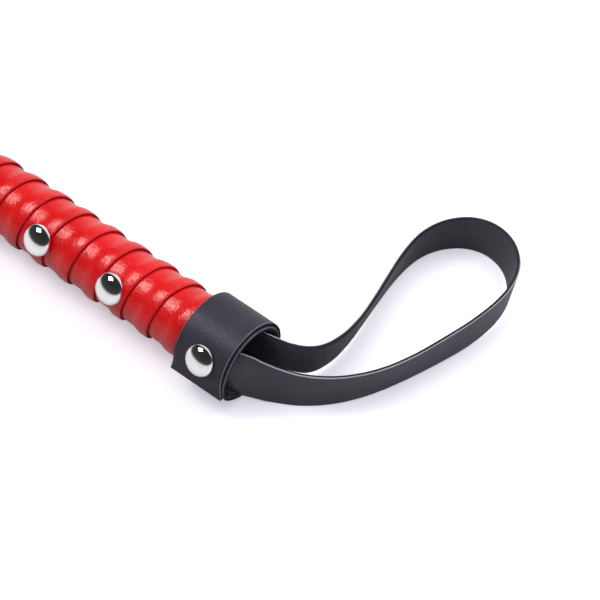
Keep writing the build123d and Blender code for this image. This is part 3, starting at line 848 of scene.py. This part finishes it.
def build_whipping():
    path, ups = [], []
    count = WHIPPING_TURNS * WHIPPING_STEPS
    power = WHIPPING_SQUARENESS
    for i in range(count + 1):
        turn = TAU * WHIPPING_TURNS * i / count
        x = WHIPPING_START_X + (WHIPPING_END_X - WHIPPING_START_X) * i / count
        cos, sin = math.cos(turn), math.sin(turn)
        reach = (abs(cos) ** power + abs(sin) ** power) ** (-1 / power)
        path.append(vec(x, WHIPPING_HALF_Y * cos * reach, WHIPPING_HALF_Z * sin * reach))
        ups.append(vec(0, cos / WHIPPING_HALF_Y, sin / WHIPPING_HALF_Z).normalized())
    verts, faces = [], []
    add_tube(verts, faces, path, [WHIPPING_THREAD_RADIUS] * len(path), ups)
    return make_mesh("tip_whipping_thread", verts, faces, [whipping_thread], 60.0)


register(build_whipping(), "handle", "tip_whipping")

# ------------------------------------------------------------------ keeper
KEEPER_START_X, KEEPER_FOLD_X = -553.8, -649.0
KEEPER_END_X = -650.0
KEEPER_THICKNESS = 1.45
KEEPER_ROOT_HALF, KEEPER_NECK_HALF, KEEPER_HALF = 3.9, 6.0, 15.0  # half widths
KEEPER_CORNER = 6.0
KEEPER_ROOT_Z, KEEPER_FLAT_Z = 2.42, 0.85  # mid-leather height at the rod and beyond it
KEEPER_STEPS, KEEPER_FOLD_STEPS = 120, 9


def keeper_half_width(x):
    if x > -573.0:
        return KEEPER_ROOT_HALF
    if x > -586.0:
        s = (-573.0 - x) / 13.0
        return KEEPER_ROOT_HALF + (KEEPER_NECK_HALF - KEEPER_ROOT_HALF) * smooth(s)
    if x > -597.0:
        s = (-586.0 - x) / 11.0
        return KEEPER_NECK_HALF + (KEEPER_HALF - KEEPER_NECK_HALF) * smooth(s)
    # rounded corners at the end
    inset = KEEPER_CORNER - min(x - KEEPER_END_X, KEEPER_CORNER)
    return KEEPER_HALF - KEEPER_CORNER + math.sqrt(KEEPER_CORNER ** 2 - inset ** 2)


def keeper_layer(side):
    """(x, z) of the upper (1) or lower (-1) layer, from the rod to the fold."""
    layer = []
    for i in range(KEEPER_STEPS + 1):
        x = KEEPER_START_X + (KEEPER_FOLD_X - KEEPER_START_X) * i / KEEPER_STEPS
        s = min(1.0, max(0.0, (-574.0 - x) / 16.0))
        z = KEEPER_ROOT_Z - (KEEPER_ROOT_Z - KEEPER_FLAT_Z) * smooth(s)
        z += 0.05 * noise.noise(vec(x * 0.06, side * 3.0, 0))
        layer.append((x, side * z))
    return layer


def build_keeper():
    """One strip folded over at the -X end."""
    fold = []
    for k in range(1, KEEPER_FOLD_STEPS):
        turn = math.pi * k / KEEPER_FOLD_STEPS
        fold.append((KEEPER_FOLD_X - KEEPER_FLAT_Z * math.sin(turn),
                     KEEPER_FLAT_Z * math.cos(turn)))
    path = keeper_layer(1) + fold + keeper_layer(-1)[::-1]
    stations = []
    for i, (x, z) in enumerate(path):
        before, after = neighbours(path, i)
        tangent = vec(after[0] - before[0], 0, after[1] - before[1]).normalized()
        width = 2 * keeper_half_width(max(x, KEEPER_END_X + 0.1))
        stations.append((vec(x, 0, z), Y_AXIS, Y_AXIS.cross(tangent).normalized(), width, None))
    return ribbon("keeper_leather_flap", stations, KEEPER_THICKNESS,
                  [keeper_face, edge_painted_highlight, inner_face, edge_dark], across=16, rounding=0.35)


keeper = build_keeper()
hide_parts("keeper_flap", "keeper_roots")
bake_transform(keeper)

# ------------------------------------------------------------------ keeper stitches
STITCH_PITCH = 5.0
STITCH_FIRST_X, STITCH_ROW_Y, STITCH_ROW_COUNT = -597.0, 12.2, 10  # the two long rows
STITCH_END_X, STITCH_END_COUNT = -644.4, 4  # the row across the end
STITCH_HALF = 1.6
STITCH_Z, STITCH_ARCH, STITCH_DIP = 1.62, 0.20, 0.45  # the ends dip into the leather
STITCH_LEAN = 0.12
STITCH_RADII = [0.2, 0.3, 0.34, 0.36, 0.36, 0.36, 0.34, 0.3, 0.2]


def stitch_path(index, x, y, across, face):
    path = []
    for k in range(9):
        s = k / 8 * 2 - 1
        dip = STITCH_DIP if abs(s) > 0.99 else 0.0
        z = face * (STITCH_Z + STITCH_ARCH * (1 - s**4) - dip)
        lean = STITCH_LEAN * scatter(index, face) * s
        if across:
            path.append(vec(x + lean, y + STITCH_HALF * s, z))
        else:
            path.append(vec(x + STITCH_HALF * s, y + lean, z))
    return path


def build_stitches():
    # (x, y, whether the stitch runs along Y)
    spots = [(STITCH_FIRST_X - i * STITCH_PITCH, side * STITCH_ROW_Y, False)
             for i in range(STITCH_ROW_COUNT) for side in (-1, 1)]
    spots += [(STITCH_END_X, (i - (STITCH_END_COUNT - 1) / 2) * STITCH_PITCH, True)
              for i in range(STITCH_END_COUNT)]
    verts, faces = [], []
    for index, (x, y, across) in enumerate(spots):
        for face in (1, -1):
            path = stitch_path(index, x, y, across, face)
            add_tube(verts, faces, path, STITCH_RADII, [Z_AXIS] * len(path), flat=0.8)
    return make_mesh("keeper_stitches", verts, faces, [stitch_thread], 60.0)


register(build_stitches(), "keeper", "keeper_stitching")

# ------------------------------------------------------------------ keeper rivet
KEEPER_RIVET_X, KEEPER_RIVET_SEAT = -590.0, 1.58

for side, name, replaced in ((1, "keeper_rivet_dome", "keeper_rivet_cap"),
                             (-1, "keeper_rivet_back_dome", "keeper_rivet_back_cap")):
    rivet = dome(name, vec(KEEPER_RIVET_X, 0, side * KEEPER_RIVET_SEAT), Z_AXIS * side,
                 radius=4.2, height=1.8)
    register(rivet, "keeper", replaced)

# ------------------------------------------------------------------ floor
FLOOR_Z = -14.2
FLOOR_HALF = 6.0  # metres


def floor_material():
    """White to the camera, but darker in the light it bounces and in reflections."""
    material, tree, bsdf = new_material("floor_white")
    rays = add_node(tree, "ShaderNodeLightPath", {}).outputs
    tone = add_node(tree, "ShaderNodeMix", {
        0: rays["Is Diffuse Ray"], 6: (0.93, 0.93, 0.955, 1), 7: (0.20, 0.20, 0.207, 1),
    }, data_type="RGBA")
    shine = add_node(tree, "ShaderNodeMix", {
        0: rays["Is Glossy Ray"], 6: tone.outputs[2], 7: (0.74, 0.73, 0.715, 1),
    }, data_type="RGBA")
    glow = add_node(tree, "ShaderNodeMath", {0: rays["Is Camera Ray"], 1: 0.33},
                    operation="MULTIPLY")
    set_inputs(bsdf, {
        "Roughness": 0.75,
        "Specular IOR Level": 0.1,
        "Base Color": shine.outputs[2],
        "Emission Color": (0.97, 0.95, 1.0, 1),
        "Emission Strength": glow.outputs[0],
    })
    return material


def build_floor():
    mesh = bpy.data.meshes.new("floor")
    corners = [(-1, -1), (1, -1), (1, 1), (-1, 1)]
    mesh.from_pydata([(x * FLOOR_HALF, y * FLOOR_HALF, FLOOR_Z * MM) for x, y in corners],
                     [], [(0, 1, 2, 3)])
    obj = bpy.data.objects.new("floor", mesh)
    bpy.context.scene.collection.objects.link(obj)
    mesh.materials.append(floor_material())


build_floor()


# ------------------------------------------------------------------ world
def build_world():
    """A soft sky for lighting; glossy rays see a dark room with a pale horizon instead."""
    world = bpy.data.worlds.new("studio")
    bpy.context.scene.world = world
    world.use_nodes = True
    tree = world.node_tree
    sky = tree.nodes["Background"]
    rays = add_node(tree, "ShaderNodeLightPath", {})
    geometry = add_node(tree, "ShaderNodeNewGeometry", {})
    incoming = add_node(tree, "ShaderNodeSeparateXYZ", {0: geometry.outputs["Incoming"]})
    # Incoming points back at the viewer, so its z is turned round to get the height
    height = add_node(tree, "ShaderNodeMath", {0: incoming.outputs["Z"], 1: -1.0},
                      operation="MULTIPLY").outputs[0]
    set_inputs(sky, {
        "Color": (0.93, 0.91, 1.0, 1),
        "Strength": map_range(tree, height, source=(0.0, 1.0), target=(0.18, 1.30)),
    })
    greys = [(0.06, 0.80), (0.12, 0.26), (0.24, 0.045)]
    room = color_ramp(tree, height, [
        (0.0, (0.95, 0.95, 0.97)),
        *[(position, (grey, grey, grey * 1.02)) for position, grey in greys],
        (0.75, (0.022, 0.025, 0.022)),
    ])
    # a pale wall on the +Y side shows only in reflections
    glow = map_range(tree, incoming.outputs["Y"], source=(-0.36, -0.72), target=(0.0, 0.9),
                     interpolation_type="SMOOTHSTEP")
    wall = add_node(tree, "ShaderNodeMix", {0: 1.0, 6: room, 7: glow},
                    data_type="RGBA", blend_type="ADD")
    reflected = add_node(tree, "ShaderNodeBackground",
                         {"Color": wall.outputs[2], "Strength": 1.0})
    shader = add_node(tree, "ShaderNodeMixShader", {
        "Fac": rays.outputs["Is Glossy Ray"], 1: sky.outputs[0], 2: reflected.outputs[0],
    })
    set_inputs(tree.nodes["World Output"], {"Surface": shader.outputs[0]})


build_world()

# ------------------------------------------------------------------ lights, in metres
KEY_POSITION = vec(-0.455, -0.245, 0.857) * 1.15


def area_light(name, location, target, size, energy, color, size_y=None):
    light = bpy.data.lights.new(name, "AREA")
    light.energy = energy
    light.color = color
    light.size = size
    if size_y:
        light.shape = "RECTANGLE"
        light.size_y = size_y
    obj = bpy.data.objects.new(name, light)
    obj.location = location
    obj.rotation_euler = (target - location).to_track_quat("-Z", "Y").to_euler()
    bpy.context.scene.collection.objects.link(obj)
    return obj


# the key is split so that its reflection can be brighter than its light
key = area_light("key", KEY_POSITION, target=vec(0, 0, 0), size=0.42, energy=2.8,
                 color=(1.0, 0.985, 0.965))
key.visible_glossy = False
window = area_light("key_window", KEY_POSITION * 0.99, target=vec(0, 0, 0), size=0.46,
                    energy=11.5, color=(1.0, 0.99, 0.975))
window.visible_diffuse = False
back_soft = area_light("back_soft", vec(-0.02, 0.66, 0.96), target=vec(0, 0.02, 0), size=0.90,
                       energy=4.8, color=(1.0, 0.99, 0.985), size_y=0.70)
back_soft.visible_glossy = False

# ------------------------------------------------------------------ camera
CAMERA_AZIMUTH, CAMERA_ELEVATION = math.radians(40.5), math.radians(50.0)
CAMERA_DISTANCE = 900.0
CAMERA_TARGET = vec(-5.0, 0.0, 0.0)  # on the grip axis, 5 mm inside the butt
CAMERA_RIGHT, CAMERA_UP = 18.64198, 17.03704  # sideways moves that place the target off centre
CAMERA_LENS, CAMERA_SENSOR = 174.96, 36.0


def build_camera():
    sin_az, cos_az = math.sin(CAMERA_AZIMUTH), math.cos(CAMERA_AZIMUTH)
    sin_el, cos_el = math.sin(CAMERA_ELEVATION), math.cos(CAMERA_ELEVATION)
    back = vec(sin_az * cos_el, -cos_az * cos_el, sin_el)
    right = vec(cos_az, sin_az, 0)
    up = vec(-sin_az * sin_el, cos_az * sin_el, cos_el)
    position = CAMERA_TARGET + back * CAMERA_DISTANCE + right * CAMERA_RIGHT + up * CAMERA_UP
    camera = bpy.data.cameras.new("camera")
    camera.sensor_width = CAMERA_SENSOR
    camera.lens = CAMERA_LENS
    camera.clip_start = 0.01
    camera.clip_end = 50.0
    obj = bpy.data.objects.new("camera", camera)
    rotation = Matrix((right, up, back)).transposed()
    obj.matrix_world = Matrix.Translation(position * MM) @ rotation.to_4x4()
    bpy.context.scene.collection.objects.link(obj)
    bpy.context.scene.camera = obj


build_camera()
bpy.context.scene.view_settings.view_transform = "Standard"
